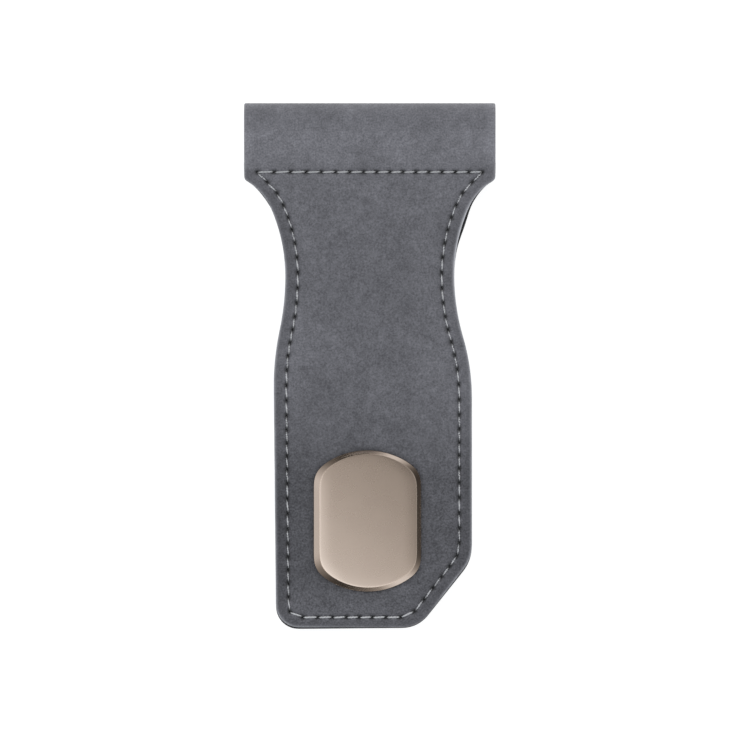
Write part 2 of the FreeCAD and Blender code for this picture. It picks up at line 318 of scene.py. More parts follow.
def resample(points, spacing):
    """Evenly spaced points round a closed line."""
    closed = np.vstack([points, points[:1]])
    along = np.concatenate([[0], np.cumsum(np.linalg.norm(np.diff(closed, axis=0), axis=1))])
    where = np.linspace(0, along[-1], max(3, round(along[-1] / spacing)), endpoint=False)
    return np.column_stack([np.interp(where, along, closed[:, k]) for k in (0, 1)])


def soften(points, reach):
    """A closed line of even points, each averaged with its neighbours over about that many either way."""
    steps = np.arange(-3 * reach, 3 * reach + 1)
    weights = np.exp(-0.5 * (steps / reach) ** 2)
    return sum(w * np.roll(points, k, axis=0) for k, w in zip(steps, weights / weights.sum()))


def inward(points):
    """The unit normals of a closed anticlockwise line, towards its inside."""
    tangent = np.roll(points, -1, axis=0) - np.roll(points, 1, axis=0)
    tangent /= np.linalg.norm(tangent, axis=1)[:, None]
    return np.column_stack([-tangent[:, 1], tangent[:, 0]])


def distance_to(line, points):
    """Each point's distance from a closed line, and how far along the line its nearest place lies."""
    run = np.roll(line, -1, axis=0) - line
    length = np.linalg.norm(run, axis=1)
    passed = np.concatenate([[0], np.cumsum(length)[:-1]])
    away, along = [], []
    for block in np.array_split(points, max(1, len(points) * len(line) // PAIRS_AT_ONCE)):
        gap = block[:, None] - line
        share = np.clip((gap * run).sum(axis=2) / length**2, 0, 1)
        distance = np.linalg.norm(gap - share[..., None] * run, axis=2)
        best = distance.argmin(axis=1)
        rows = np.arange(len(block))
        away.append(distance[rows, best])
        along.append(passed[best] + share[rows, best] * length[best])
    return np.concatenate(away), np.concatenate(along)


def is_inside(line, points):
    """Whether each point lies inside a closed line."""
    crossings = np.zeros(len(points), int)
    for (x0, y0), (x1, y1) in zip(line, np.roll(line, -1, axis=0)):
        spans = (y0 > points[:, 1]) != (y1 > points[:, 1])
        rise = y1 - y0 if y1 != y0 else TINY
        crossings += spans & (points[:, 0] < x0 + (points[:, 1] - y0) * (x1 - x0) / rise)
    return crossings % 2 == 1


def waves(points, size, seed):
    """Smooth noise from -1 to 1 at each point of the plane, with lumps of about that size."""
    return np.array([noise.noise(Vector((x / size, y / size, seed))) for x, y in points])


def nearest_hole(holes, points):
    return np.linalg.norm(points[:, None] - holes, axis=2).min(axis=1)


def seam_places(holes, points):
    """Each point's distance from a seam, its way along to the nearest hole, and its share of the stitch."""
    away, along = distance_to(holes, points)
    starts = np.concatenate([[0], np.cumsum(np.linalg.norm(np.roll(holes, -1, axis=0) - holes, axis=1))])
    stitch = np.clip(np.searchsorted(starts, along, side="right") - 1, 0, len(holes) - 1)
    pitch = np.diff(starts)[stitch]
    passed = along - starts[stitch]
    return away, np.minimum(passed, pitch - passed), passed / pitch


def pits(holes, points, reach):
    """1 in a seam's holes, falling to 0 round them, further along the seam than across it."""
    away, to_hole, _ = seam_places(holes, points)
    return bump(np.hypot(away, to_hole / PIT_STRETCH), reach)


def bump(distance, reach):
    return np.exp(-((distance / reach) ** 2))


def step_up(values, low, high):
    """A smooth step from 0 at low to 1 at high."""
    share = np.clip((values - low) / (high - low), 0, 1)
    return share * share * (3 - 2 * share)


# Meshes


def make_mesh(name, vertices, faces, attributes=None, sharp_angle=60):
    """An object with faces turned outwards, smooth shading and float or vector attributes on its points."""
    corners = np.array([face[:3] for face in faces])
    a, b, c = (vertices[corners[:, k]] for k in range(3))
    if np.einsum("ij,ij->i", a, np.cross(b, c)).sum() < 0:
        faces = [face[::-1] for face in faces]
    mesh = bpy.data.meshes.new(name)
    mesh.from_pydata([tuple(v) for v in vertices], [], faces)
    mesh.polygons.foreach_set("use_smooth", [True] * len(mesh.polygons))
    mesh.set_sharp_from_angle(angle=math.radians(sharp_angle))
    for key, values in (attributes or {}).items():
        values = np.asarray(values, np.float32)
        kind, field = ("FLOAT", "value") if values.ndim == 1 else ("FLOAT_VECTOR", "vector")
        mesh.attributes.new(key, kind, "POINT").data.foreach_set(field, values.ravel())
    made = bpy.data.objects.new(name, mesh)
    bpy.context.scene.collection.objects.link(made)
    return made


def triangulate(outline, inner_points):
    """Triangles over the inside of an outline, through the inner points too, as points and corners."""
    points = np.vstack([outline, inner_points]) / MM
    region = list(range(len(outline)))
    made = geometry.delaunay_2d_cdt([Vector(p) for p in points], [], [region], 1, TINY)
    return np.array([tuple(v) for v in made[0]]) * MM, [tuple(f) for f in made[2]]


def grid_points(outline, step, dense=None):
    """Rows of points over an outline's box, every other row shifted by half a step.

    dense gives the start and end of a stretch along y, and the smaller step between its rows.
    """
    low, high = outline.min(axis=0), outline.max(axis=0)
    rows = np.arange(low[1], high[1], step * math.sqrt(3) / 2)
    if dense:
        start, end, gap = dense
        rows = np.concatenate([rows[rows < start], np.arange(start, end, gap), rows[rows > end]])
    columns = np.arange(low[0], high[0], step)
    return np.vstack([np.column_stack([columns + step / 2 * (i % 2), np.full(len(columns), y)])
                      for i, y in enumerate(rows)])


def seam_points(holes):
    """Rings of points along a seam and round each of its holes, for its groove and pits."""
    line = anticlockwise(resample(holes, SEAM_STEP))
    side = inward(line)
    runs = np.vstack([line + side * offset * MM for offset in SEAM_RUNS])
    runs = runs[nearest_hole(holes, runs) > HOLE_CLEARANCE]
    rings = [holes]
    for radius, count in HOLE_RINGS:
        turn = np.arange(count) * 2 * math.pi / count
        circle = np.column_stack([np.cos(turn), np.sin(turn)]) * radius * MM
        rings.append((holes[:, None] + circle).reshape(-1, 2))
    return np.vstack([runs, *rings])


def inside_grid(outline, step, margin, dense=None):
    """The grid's points that lie inside an outline and at least the margin from it."""
    grid = grid_points(outline, step, dense)
    grid = grid[is_inside(outline, grid)]
    return grid[distance_to(outline, grid)[0] > margin]


def unique_points(points, gap):
    """The points, without those that share a cell of that size with an earlier one."""
    cells = {}
    for i, key in enumerate(map(tuple, np.round(points / gap).astype(int))):
        cells.setdefault(key, i)
    return points[sorted(cells.values())]


def shell(outline, place, thickness, relief, marks, seams=(), edge_round=EDGE_ROUND, rings=EDGE_RINGS,
          step=GRID_STEP, dense=None):
    """A closed sheet with a detailed outer face, cut walls and a plain inner face.

    place turns x, y and depth below the outer face into a place in space. relief gives the outer face's
    height at points of the plane, from their distance to the edge, and marks gives attributes in the same
    way. The vertices, faces and attributes are returned.
    """
    side = inward(outline)
    inner_bevel = min(INNER_BEVEL, thickness / 4)
    grid = inside_grid(outline, step, rings[-1] * MM + 0.5 * step, dense)
    for holes in seams:
        grid = grid[distance_to(holes, grid)[0] > SEAM_CLEARANCE]
    extra = [outline + side * inset * MM for inset in rings] + [seam_points(holes) for holes in seams]
    top, top_faces = triangulate(outline, unique_points(np.vstack([*extra, grid]), POINT_GAP))
    edge, _ = distance_to(outline, top)
    inset = np.clip(edge_round - edge, 0, edge_round)
    rounding = edge_round - np.sqrt(edge_round**2 - inset**2)
    sheets = [(top, rounding - relief(top, edge), edge, 0, 0)]

    count = len(outline)
    on_edge = np.zeros(count)
    wall_depths = np.linspace(edge_round, thickness - inner_bevel, WALL_STEPS + 1)[1:]
    sheets += [(outline, np.full(count, depth), on_edge, 1, 0) for depth in wall_depths]

    under_outline = outline + side * inner_bevel
    under_dense = dense and (dense[0], dense[1], 1.5 * dense[2])
    under_grid = inside_grid(under_outline, UNDER_STEP, UNDER_MARGIN, under_dense)
    under, under_faces = triangulate(under_outline, under_grid)
    sheets.append((under, np.full(len(under), thickness), distance_to(outline, under)[0], 0, 1))

    attributes = {}
    for points, depth, edge, wall, flesh in sheets:
        found = marks(points, edge)
        found["wall"] = np.full(len(points), wall)
        found["flesh"] = np.full(len(points), flesh)
        found["flat"] = np.column_stack([points, -depth])
        for key, values in found.items():
            attributes.setdefault(key, []).append(values)
    vertices = np.vstack([place(points, depth) for points, depth, *_ in sheets])

    starts = [0] + [len(top) + count * k for k in range(len(wall_depths) + 1)]
    faces = list(top_faces)
    for upper, lower in zip(starts, starts[1:]):
        for i in range(count):
            j = (i + 1) % count
            faces.append((upper + i, lower + i, lower + j, upper + j))
    faces += [tuple(starts[-1] + i for i in reversed(face)) for face in under_faces]
    return vertices, faces, {key: np.concatenate(values) for key, values in attributes.items()}


# Leather


def finish_outline(points, seed):
    """A CAD outline as even points, with slightly softened corners and a hand-cut edge's small waver."""
    even = soften(resample(anticlockwise(points), OUTLINE_STEP), 1)
    return even + inward(even) * (WAVER * waves(even, WAVER_SIZE, seed))[:, None]


def hand_cut(loop, lean=0, lift=0, tip_lift=0):
    """A flap's outline with the bar's ends bulging a little.

    lean is how far its neck leans to the right, and lift and tip_lift are how far its flares and the right
    of its tip are raised.
    """
    x, y = loop.T
    bulge = BAR_BULGE * bump(y - BAR_MIDDLE, BAR_REACH) * step_up(np.abs(x), *BAR_END) * np.sign(x)
    rise = lift * bump(y - FLARES, FLARE_REACH) + tip_lift * step_up(x, *TIP_RIGHT) * step_up(-y, *TIP_ENDS)
    return np.column_stack([x + bulge + lean * bump(y - NECK, NECK_REACH), y + rise])


def roll_out(points):
    """Places on the back flap, as x and the distance along the flat strip. It also turns them back."""
    return np.column_stack([points[:, 0], FOLD_END + FOLD_Y - points[:, 1]])


def open_at_fold(loop):
    """A flap's outline, opened where it meets the fold, from one side of the bar round to the other."""
    at_fold = (np.abs(loop[:, 1] - FOLD_Y) < TINY) | (np.abs(loop[:, 1] - FOLD_END) < TINY)
    first = next(i for i in range(len(loop)) if at_fold[i] and not at_fold[(i + 1) % len(loop)])
    return np.roll(loop, -first, axis=0)


def strip_place(points, depth):
    """Rolls the flat strip round the fold. depth is below the outer face."""
    x, u = points.T
    turn = np.clip((u - FOLD_Y) / FOLD_LENGTH, 0, 1) * math.pi
    radius = FOLD_RADIUS - depth
    y = FOLD_Y + radius * np.sin(turn) + np.minimum(u - FOLD_Y, 0) - np.maximum(u - FOLD_END, 0)
    z = FOLD_RADIUS + BACK_LOW.z + radius * np.cos(turn)
    return np.column_stack([x, y, z])


def seam_relief(points, holes, groove, pit):
    """The height that a seam takes from a face: its groove, its pits, and the pucker between stitches."""
    away, _, share = seam_places(holes, points)
    pucker = -PUCKER * np.cos(share * 2 * math.pi) * bump(away - PUCKER_PLACE, PUCKER_REACH)
    return pucker - groove * bump(away, GROOVE_REACH) - pit * pits(holes, points, PIT_REACH)


def strip_relief(points, edge):
    """The strip's outer face: padded on the front, flat on the back, grooved at its seams."""
    height = seam_relief(points, FRONT_HOLES, FRONT_GROOVE, PIT_DEPTH)
    height += seam_relief(points, roll_out(BACK_HOLES), BACK_GROOVE, PIT_DEPTH)
    on_front = points[:, 1] < FOLD_Y
    from_seam, _ = distance_to(FRONT_HOLES, points)
    from_fold = np.clip(FOLD_Y - points[:, 1], 0, None)
    padded = is_inside(FRONT_HOLES, points)
    swell = PILLOW * (1 - np.exp(-from_seam / PILLOW_REACH)) * padded
    swell += BAR_SWELL * (on_front & ~padded) * (1 - bump(from_seam, SWELL_MARGIN)) \
        * (1 - bump(from_fold, FOLD_MARGIN)) * (1 - bump(edge, SWELL_MARGIN))
    ripple = sum(amount * waves(points, size, seed) for amount, size, seed in RIPPLES)
    swell += on_front * ripple * (1 - bump(from_fold, RIPPLE_MARGIN))
    to_plate, _ = distance_to(PLATE_OUTLINE, points)
    pressed = np.where(is_inside(PLATE_OUTLINE, points), 1, bump(to_plate, SINK_REACH))
    return height + swell * (1 - pressed) - PLATE_SINK * pressed


def strip_tone(points):
    """How light the strip's colour is: lightest on the bar, darkest beside the plate and past the seam."""
    x, u = points.T
    along, light = np.array(STRIP_TONES).T
    tone = np.interp(u / MM, along, light)
    sideways = np.clip(x / HALF_BODY, -1, 1)
    tone *= 1 + RIGHT_LIGHTER * sideways * bump(u - PLATE_LEVEL, PLATE_LEVEL_REACH) \
        + SIDES_LIGHTER * (sideways**2 - MIDDLE_DARKER) * bump(u - WAIST, WAIST_REACH)
    ends_lighter = BAR_ENDS_LIGHTER + RIGHT_END_LIGHTER * np.sign(x)
    tone *= 1 + ends_lighter * step_up(np.abs(x), *BAR_END_TONE) * step_up(u, *BAR_START)
    from_seam, _ = distance_to(FRONT_HOLES, points)
    outside = ~is_inside(FRONT_HOLES, points) & (u < LAST_OF_BODY)
    margin = np.interp(sideways, [-1, 1], [LEFT_MARGIN, RIGHT_MARGIN])
    tone *= 1 - margin * outside * step_up(from_seam, *MARGIN_START)
    to_plate, _ = distance_to(PLATE_OUTLINE, points)
    return tone * (1 - PLATE_SHADOW * bump(to_plate, SHADOW_REACH))


def strip_marks(points, edge):
    """What the strip's material reads: the rim's painted highlight, the needle holes' painted shade, the tone
    and the coarseness of the nap.
    """
    # Where the needle holes' painted shade goes
    hole = np.maximum(pits(FRONT_HOLES, points, PIT_REACH), pits(roll_out(BACK_HOLES), points, PIT_REACH))
    x, u = points.T
    from_brightest_rim = np.hypot(x - BRIGHTEST_RIM_PLACE[0], u - BRIGHTEST_RIM_PLACE[1])
    # How strong the rim's painted highlight is: brightest at the right flare, less on the bar and the right
    # of the tip
    rim_light = NECK_HIGHLIGHT + BODY_HIGHLIGHT * (u < NECK_START) + MOST_HIGHLIGHT * bump(from_brightest_rim, BRIGHTEST_RIM_REACH) \
        - BAR_LESS * step_up(u, *BAR_RIM) - TIP_LESS * step_up(x, *TIP_RIGHT) * step_up(-u, *TIP_ENDS)
    return {"rim": bump(edge, RIM_REACH) * rim_light, "pit": hole, "tone": strip_tone(points),
            "nap": 1 + COARSENESS * step_up(-u, *COARSE_NAP)}


def lining_sheet(name, node, cut, holes, faces_down):
    """A flap's lining, whose outer face is the one that the flaps close on, with its place and seam."""
    low, high = (corner.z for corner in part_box(node))
    flip = np.array([-1.0 if faces_down else 1.0, 1.0])
    seam = holes * flip
    magnet_low, magnet_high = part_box(node.replace("lining", "magnet"))
    magnet = np.array([(magnet_low.x + magnet_high.x) / 2, (magnet_low.y + magnet_high.y) / 2]) * flip
    magnet_radius = (magnet_high.x - magnet_low.x) / 2

    def place(points, depth):
        return np.column_stack([points * flip, low + depth if faces_down else high - depth])

    def relief(points, edge):
        from_ring = np.linalg.norm(points - magnet, axis=1) - magnet_radius
        print_of_magnet = MAGNET_MARK * bump(from_ring, MARK_REACH)
        return seam_relief(points, seam, LINING_GROOVE, LINING_PIT) - print_of_magnet

    def marks(points, edge):
        # pit is where the lining's needle holes get painted shade
        return {"pit": pits(seam, points, PIT_REACH), "rim": bump(edge, LINING_RIM)}

    cut_edge = hand_cut(flat_loops(node, high if faces_down else low)[0], *cut)
    outline = finish_outline(cut_edge * flip, LINING_SEED)
    parts = shell(outline, place, high - low, relief, marks, [seam], LINING_ROUND)
    return make_mesh(name, *parts), place, seam


def board(name, node, cut):
    """A flap's board, cut to the flap's outline, with its windows."""
    low, high = (corner.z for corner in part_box(node))
    outline, *windows = flat_loops(node, low)
    edge = finish_outline(hand_cut(outline, *cut), BOARD_SEED)
    loops = [edge + inward(edge) * BOARD_INSET, *(anticlockwise(window)[::-1] for window in windows)]
    points = np.vstack(loops)
    count = len(points)
    starts = np.cumsum([0] + [len(loop) for loop in loops])
    sides = [(start + i, start + (i + 1) % len(loop))
             for start, loop in zip(starts, loops) for i in range(len(loop))]
    tops = geometry.delaunay_2d_cdt([Vector(p) for p in points / MM], sides, [], 2, TINY)[2]
    faces = [tuple(i + count for i in face) for face in tops] + [tuple(reversed(face)) for face in tops]
    faces += [(i, j, j + count, i + count) for i, j in sides]
    vertices = np.vstack([np.column_stack([points, np.full(count, z)]) for z in (low, high)])
    return make_mesh(name, vertices, [tuple(int(i) for i in face) for face in faces])


# Threads


def stitch_profile(pitch, bar_depth, turn):
    """One stitch from lock to lock: distances along it, depths, and thicknesses as shares of the bar's.

    turn is how far before a hole the thread starts to dive.
    """
    bend = np.radians([0, 22.5, 45, 67.5, 90])
    along = [0, 0.7 * LEG_OFFSET, LEG_OFFSET, LEG_OFFSET, *(LEG_OFFSET + turn * (1 - np.cos(bend)))]
    leg_top = bar_depth + DIVE
    depth = [LOCK_DEPTH, *(LOCK_DEPTH - rise for rise in LOCK_BENDS), (LOCK_DEPTH + leg_top) / 2,
             *(leg_top - DIVE * np.sin(bend))]
    size = [LEG_RADIUS] * 4 + list(LEG_RADIUS + (1 - LEG_RADIUS) * np.sin(bend) ** 1.5)
    middle = np.linspace(along[-1], pitch / 2, BAR_POINTS + 1)[1:]
    arch = np.sin(np.linspace(0, math.pi / 2, BAR_POINTS + 1))[1:]
    along = np.array([*along, *middle])
    depth = np.array([*depth, *(bar_depth - BAR_SAG * arch)])
    size = np.array([*size, *np.ones(BAR_POINTS)])
    return (np.concatenate([along, pitch - along[-2:0:-1]]), np.concatenate([depth, depth[-2:0:-1]]),
            np.concatenate([size, size[-2:0:-1]]))


def thread_lobes():
    """A three-ply thread's outline, as angles and radii for a thread of radius 1."""
    angle = np.arange(PLY_SIDES) * 2 * math.pi / PLY_SIDES
    off_ply = (angle + math.pi / 3) % (2 * math.pi / 3) - math.pi / 3
    reach = 1 - LOBE
    bulge = np.sqrt(np.clip(LOBE**2 - (reach * np.sin(off_ply)) ** 2, 0, None))
    return angle, reach * np.cos(off_ply) + bulge


def thread_path(holes, bar_depth, seed):
    """A seam's thread: its places in the plane, directions across, depths, thicknesses and tones."""
    chance = np.random.default_rng(seed)
    parts = []
    for start, end in zip(holes, np.roll(holes, -1, axis=0)):
        pitch = np.linalg.norm(end - start)
        run = (end - start) / pitch
        side = np.array([-run[1], run[0]])
        level = step_up(abs(run[0]), *LEVEL_RUN)
        on_top = level * (start[1] > SEAM_EYE[1])
        along, depth, size = stitch_profile(pitch, bar_depth, TURN - LEVEL_TURN * level)
        size = size * (STITCH_SIZE + LEVEL_SIZE * level + TOP_SIZE * on_top)
        lean = (STITCH_LEAN + LEFT_LEAN * (start[0] < LEFT_SEAM)) * chance.uniform(*LEAN_CHANCE)
        swing = np.interp(along, [0, LEG_OFFSET, pitch - LEG_OFFSET, pitch], [0, -1, 1, 0])
        line = start + run * along[:, None] + side * (lean * swing)[:, None]
        size = size * chance.uniform(*SIZE_CHANCE)
        tone = np.full(len(along), 1 - TOP_TONE * on_top)
        parts.append((line, np.tile(side, (len(along), 1)), depth, size, tone))
    return [np.concatenate(kind) for kind in zip(*parts)]


def twisted_faces(count, slip):
    """The faces of a closed tube of count rings, whose last ring meets the first one turned by slip sides."""
    faces = []
    for i in range(count):
        here, there = i * PLY_SIDES, (i + 1) % count * PLY_SIDES
        turned = slip if i == count - 1 else 0
        for j in range(PLY_SIDES):
            k = (j + 1) % PLY_SIDES
            near, far = there + (j + turned) % PLY_SIDES, there + (k + turned) % PLY_SIDES
            faces.append((here + j, here + k, far, near))
    return faces


def stitches(name, holes, place, bar_depth, seed):
    """A seam's thread: one closed twisted cord, over each stitch, down its hole to the lock and up again."""
    line, sides, depths, sizes, tones = thread_path(holes, bar_depth, seed)
    centre = place(line, depths)
    across = place(line + sides * TINY, depths) - centre
    tangent = np.roll(centre, -1, axis=0) - np.roll(centre, 1, axis=0)
    tangent /= np.linalg.norm(tangent, axis=1)[:, None]
    above = np.cross(tangent, across)
    above /= np.linalg.norm(above, axis=1)[:, None]
    across = np.cross(above, tangent)

    length = np.concatenate([[0], np.cumsum(np.linalg.norm(np.diff(centre, axis=0), axis=1))])
    total = length[-1] + np.linalg.norm(centre[0] - centre[-1])
    ply_turns = round(PLIES * total / PLY_TWIST)
    twist = length / total * ply_turns * 2 * math.pi / PLIES
    angle, reach = thread_lobes()
    turn = angle + twist[:, None]
    radius = THREAD_RADIUS * sizes[:, None] * reach
    rings = centre[:, None] + (radius * np.cos(turn))[..., None] * across[:, None] \
        + (radius * np.sin(turn) * THREAD_SQUASH)[..., None] * above[:, None]

    faces = twisted_faces(len(centre), ply_turns % PLIES * PLY_SIDES // PLIES)
    # These attributes place the thread's painted shade, between its plies and down the holes
    attributes = {"ply": np.tile(reach, len(centre)), "sunk_shade": np.repeat(depths - bar_depth, PLY_SIDES) / MM,
                  "tone": np.repeat(tones, PLY_SIDES)}
    return make_mesh(name, rings.reshape(-1, 3), faces, attributes, sharp_angle=180)


# Plate


def face_outline():
    """Where the plate's bevel meets its face. The bevel is wider at the corners and on the left."""
    line = soften(resample(PLATE_OUTLINE, PLATE_STEP), FACE_SOFTENING)
    side = inward(line)
    width = BEVEL_WIDTH - END_NARROWING * side[:, 1] ** 4
    return line + side * width[:, None] + FACE_SHIFT


def plate_faces(points, edge):
    """How high the bevel and the face are above the rim at each point, and how far it is past their line."""
    x, y = (points - PLATE_CENTRE).T
    past = distance_to(FACE_OUTLINE, points)[0] * np.where(is_inside(FACE_OUTLINE, points), 1, -1)
    crown = PLATE_HIGH.z - PLATE_FOOT - PLATE_RIM - (x**2 + y**2) / (2 * CROWN_RADIUS) - FACE_TILT * x
    share = SHOULDER_AT_ENDS + (1 - SHOULDER_AT_ENDS) * step_up(np.abs(x), *SHOULDER_SIDES)
    shoulder = SHOULDER * share
    slope = np.where(past < 0, edge / (edge + np.maximum(-past, 0) + TINY), 1 + past / BEVEL_WIDTH)
    return (crown - shoulder) * slope, crown - shoulder * np.clip(1 - past / SHOULDER_REACH, 0, 1) ** 2, past


def plate_relief(points, edge):
    """The lower of the bevel and the face, with the line between them rounded off."""
    bevel, face, _ = plate_faces(points, edge)
    return (bevel + face - np.sqrt((bevel - face) ** 2 + ARRIS**2)) / 2


def plate_marks(points, edge):
    """What the plate's material reads: 1 on the satin face, 0 on the polished bevel."""
    past = plate_faces(points, edge)[2]
    return {"satin": step_up(past, -ARRIS, ARRIS)}


def tube(outer, inner, low, high):
    """A ring-shaped solid between two round loops, as vertices and faces."""
    count = BOSS_SIDES
    outer, inner = (anticlockwise(resample(loop, perimeter(loop) / count)) for loop in (outer, inner))
    inner = np.roll(inner, -np.linalg.norm(inner - outer[0], axis=1).argmin(), axis=0)
    rounds = [(outer, low), (outer, high), (inner, high), (inner, low)]
    vertices = np.vstack([np.column_stack([loop, np.full(count, z)]) for loop, z in rounds])
    faces = []
    for i in range(count):
        j = (i + 1) % count
        for here, there in zip(range(4), (1, 2, 3, 0)):
            faces.append((here * count + i, here * count + j, there * count + j, there * count + i))
    return vertices, faces


def make_plate():
    """The plate's bevelled cover, with the two threaded bosses under it."""
    outline = soften(resample(PLATE_OUTLINE, PLATE_STEP), OUTLINE_SOFTENING)

    def place(points, depth):
        return np.column_stack([points, PLATE_FOOT + PLATE_RIM - depth])

    vertices, faces, attributes = shell(outline, place, PLATE_RIM, plate_relief, plate_marks,
                                        edge_round=PLATE_ROUND, rings=PLATE_RINGS, step=PLATE_GRID)
    circles = flat_loops("clip_plate", PLATE_LOW.z)
    for end in (-1, 1):
        outer, inner = [c for c in circles if np.sign(c[:, 1].mean() - PLATE_CENTRE[1]) == end][:2]
        boss, boss_faces = tube(outer, inner, PLATE_LOW.z, PLATE_FOOT + BOSS_OVERLAP)
        faces += [tuple(i + len(vertices) for i in face) for face in boss_faces]
        vertices = np.vstack([vertices, boss])
        for key, values in attributes.items():
            attributes[key] = np.concatenate([values, np.zeros((len(boss), *values.shape[1:]))])
    return make_mesh("plate_cover", vertices, faces, attributes)


# Node trees


def node(tree, kind, inputs=None, **settings):
    """A new node, with sockets linked and values set by the inputs' names or numbers."""
    made = tree.nodes.new(kind)
    for key, value in settings.items():
        setattr(made, key, value)
    for key, value in (inputs or {}).items():
        if isinstance(value, bpy.types.NodeSocket):
            tree.links.new(value, made.inputs[key])
        else:
            made.inputs[key].default_value = value
    return made


def maths(tree, operation, *values):
    return node(tree, "ShaderNodeMath", dict(enumerate(values)), operation=operation).outputs[0]


def mixed(tree, share, a, b):
    """A colour between two others."""
    inputs = {0: share, 6: a, 7: b}
    return node(tree, "ShaderNodeMix", inputs, data_type="RGBA").outputs[2]


def mark(tree, name):
    return node(tree, "ShaderNodeAttribute", attribute_name=name).outputs["Fac"]


def speckle(tree, where, size, detail=2.0, roughness=0.5, distortion=0.0):
    """Noise from 0 to 1 with lumps of about that size."""
    inputs = {"Vector": where, "Scale": 1 / size, "Detail": detail, "Roughness": roughness,
              "Distortion": distortion}
    return node(tree, "ShaderNodeTexNoise", inputs).outputs[0]


def around_one(tree, value, swing):
    """Noise from 0 to 1 turned into a factor that swings about 1."""
    return maths(tree, "MULTIPLY_ADD", value, 2 * swing, 1 - swing)


def tinted(tree, colour, factor):
    return node(tree, "ShaderNodeVectorMath", {0: colour, "Scale": factor}, operation="SCALE").outputs[0]


def product(tree, *factors):
    result = factors[0]
    for factor in factors[1:]:
        result = maths(tree, "MULTIPLY", result, factor)
    return result


def material(name, **constants):
    """A new material, its node tree and its shader, with values that are constant over the surface."""
    made = bpy.data.materials.new(name)
    made.use_nodes = True
    shader = made.node_tree.nodes["Principled BSDF"]
    for key, value in constants.items():
        shader.inputs[key.replace("_", " ")].default_value = value
    return made, made.node_tree, shader


def raised(tree, shader, height, distance):
    """Gives a shader a bump of that height in all."""
    bumped = node(tree, "ShaderNodeBump", {"Height": height, "Strength": 1.0, "Distance": distance})
    tree.links.new(bumped.outputs[0], shader.inputs["Normal"])


def flat_places(tree):
    return node(tree, "ShaderNodeAttribute", attribute_name="flat").outputs["Vector"]


def object_places(tree):
    return node(tree, "ShaderNodeTexCoord").outputs["Object"]


def nubuck():
    """Grey nubuck with a clouded nap, a painted highlight on its rim, painted edges, a dark flesh side and
    needle holes in painted shade.
    """
    made, tree, shader = material("nubuck_grey", Roughness=0.9, Sheen_Weight=0.25, Sheen_Roughness=0.5,
                                  Specular_IOR_Level=0.25)
    where = flat_places(tree)
    clouds = speckle(tree, where, 7 * MM, 3, 0.6, 0.4)
    patches = speckle(tree, where, 1.6 * MM, 2, 0.6)
    nap = speckle(tree, where, 0.36 * MM, 2, 0.7)
    tufts = maths(tree, "MULTIPLY_ADD", nap, 2 * NAP_SWING, -NAP_SWING)
    shade = product(tree, mark(tree, "tone"), around_one(tree, clouds, 0.32), around_one(tree, patches, 0.3),
                    maths(tree, "MULTIPLY_ADD", tufts, mark(tree, "nap"), 1))
    colour = tinted(tree, NUBUCK_GREY, shade)
    # Painted highlight along the front's rim
    rim_highlight = maths(tree, "MULTIPLY", mark(tree, "rim"), around_one(tree, speckle(tree, where, 3 * MM, 2), 0.5))
    colour = mixed(tree, rim_highlight, colour, RIM_HIGHLIGHT_GREY)
    colour = mixed(tree, mark(tree, "wall"), colour, EDGE_PAINT)
    colour = mixed(tree, mark(tree, "flesh"), colour, FLESH_SIDE)
    # Painted shade in the needle holes and their pits
    colour = mixed(tree, mark(tree, "pit"), colour, HOLE_SHADE)
    tree.links.new(colour, shader.inputs["Base Color"])
    height = maths(tree, "ADD", nap, maths(tree, "MULTIPLY", patches, 0.6))
    raised(tree, shader, height, 0.05 * MM)
    return made


def lining_leather():
    """Near-black smooth leather with fine creases."""
    made, tree, shader = material("lining_black", Roughness=0.5, Specular_IOR_Level=0.4)
    where = flat_places(tree)
    cells = node(tree, "ShaderNodeTexVoronoi", {"Vector": where, "Scale": 1 / (0.7 * MM)},
                 feature="DISTANCE_TO_EDGE").outputs[0]
    creases = maths(tree, "MINIMUM", cells, 0.25)
    clouds = speckle(tree, where, 6 * MM, 3)
    shade = product(tree, around_one(tree, clouds, 0.2), around_one(tree, creases, 0.3))
    colour = tinted(tree, LINING_BLACK, shade)
    colour = mixed(tree, mark(tree, "wall"), colour, LINING_EDGE)
    # Painted shade in the lining's needle holes
    colour = mixed(tree, mark(tree, "pit"), colour, LINING_HOLE_SHADE)
    tree.links.new(colour, shader.inputs["Base Color"])
    raised(tree, shader, maths(tree, "ADD", creases, speckle(tree, where, 0.25 * MM)), 0.04 * MM)
    return made


def twisted_thread():
    """Light grey polyester, with painted shade between its plies and where it dives into a hole."""
    made, tree, shader = material("thread_grey", Roughness=0.62, Sheen_Weight=0.3, Specular_IOR_Level=0.4)
    where = object_places(tree)
    fibres = speckle(tree, where, 0.09 * MM, 3, 0.7)
    # Painted shade in the valleys between the plies
    ply_shade = maths(tree, "MULTIPLY_ADD", mark(tree, "ply"), 0.75, 0.3)
    lengths = speckle(tree, where, 5 * MM)
    shade = product(tree, ply_shade, around_one(tree, fibres, 0.16), around_one(tree, lengths, 0.08))
    # Painted shade on the thread as it sinks into a hole
    sunk_shade = maths(tree, "MULTIPLY_ADD", mark(tree, "sunk_shade"), -4.0, 1.1)
    sunk_shade = maths(tree, "MINIMUM", maths(tree, "MAXIMUM", sunk_shade, 0.05), 1.0)
    shade = product(tree, shade, mark(tree, "tone"), sunk_shade)
    tree.links.new(tinted(tree, THREAD_GREY, shade), shader.inputs["Base Color"])
    raised(tree, shader, fibres, 0.02 * MM)
    return made


